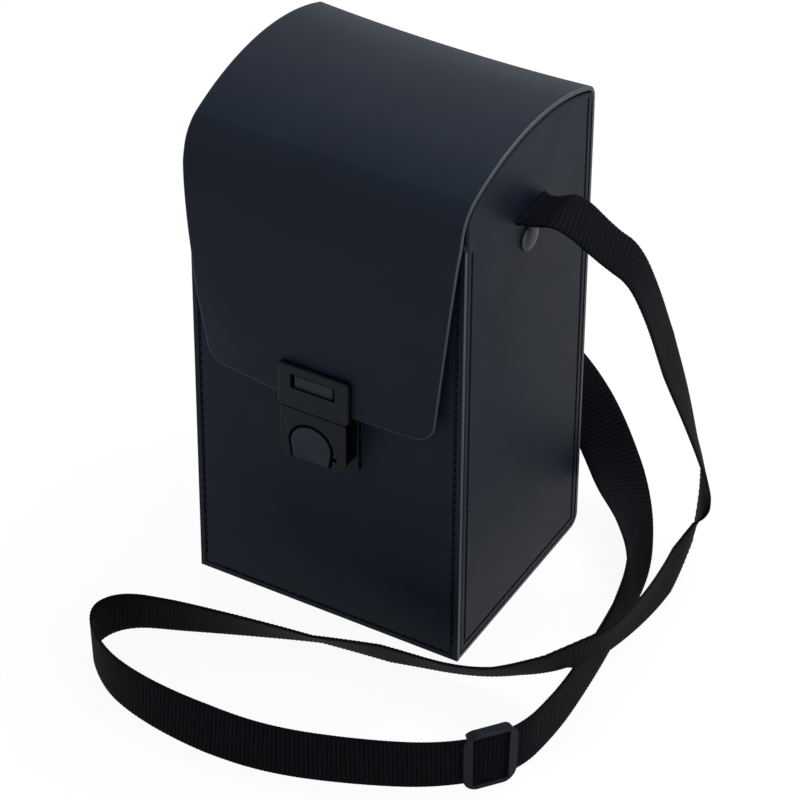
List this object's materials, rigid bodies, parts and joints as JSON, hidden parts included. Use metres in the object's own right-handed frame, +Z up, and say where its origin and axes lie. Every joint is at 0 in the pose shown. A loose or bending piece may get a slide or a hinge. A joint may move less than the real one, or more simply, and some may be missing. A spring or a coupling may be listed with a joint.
{
  "type": "binocular hard case",
  "caption": "Upright leather-look hard case for binoculars, with a wrap-over hinged lid, push-button lock and a webbing shoulder strap.",
  "frame": {"origin": "centre of the case's bottom face, on the floor", "axes": "+Z up, the front with the lock faces -Y, +X to the right seen from the front"},
  "size_m": [0.2398, 0.264, 0.2502],
  "materials": {
    "leather": "satin",
    "fibreboard": "matte",
    "lining_cloth": "matte",
    "lock_black": "satin",
    "steel": "satin",
    "nickel": "polished",
    "webbing": "matte",
    "slider_black": "satin"
  },
  "bodies": {
    "case": {"front_panel": "leather", "back_bottom_panel": "leather", "side_panel_left": "leather", "side_panel_right": "leather", "front_board": "fibreboard", "back_board": "fibreboard", "bottom_board": "fibreboard", "lining_front": "lining_cloth", "lining_back": "lining_cloth", "lining_left": "lining_cloth", "lining_right": "lining_cloth", "bottom_pad": "lining_cloth", "lock_base_plate": "lock_black", "lock_backing_plate": "steel", "lock_housing": "lock_black", "lock_rivets": "steel", "button_pin": "steel", "button_spring": "steel", "strap_rivets": "nickel", "strap_washers": "steel", "strap_end_left": "webbing", "strap_end_right": "webbing", "shoulder_strap": "webbing", "strap_slider": "slider_black"},
    "lid": {"lid_panel": "leather", "lid_lining": "lining_cloth", "hasp_plate": "lock_black", "hasp_backing_plate": "steel", "hasp_rivets": "steel"},
    "thumb_button": {"thumb_button": "lock_black"}
  },
  "joints": [
    {"name": "lid_hinge", "type": "hinge", "parent": "case", "child": "lid", "pos_m": [0, 0.0563, 0.228], "axis": [-1, 0, 0], "range_deg": [0, 150]},
    {"name": "button_press", "type": "hinge", "parent": "case", "child": "thumb_button", "pos_m": [0, -0.063, 0.0949], "axis": [-1, 0, 0], "range_deg": [0, 4.5], "stiffness_Nm_per_rad": 0.04, "springref_deg": -2.86}
  ]
}
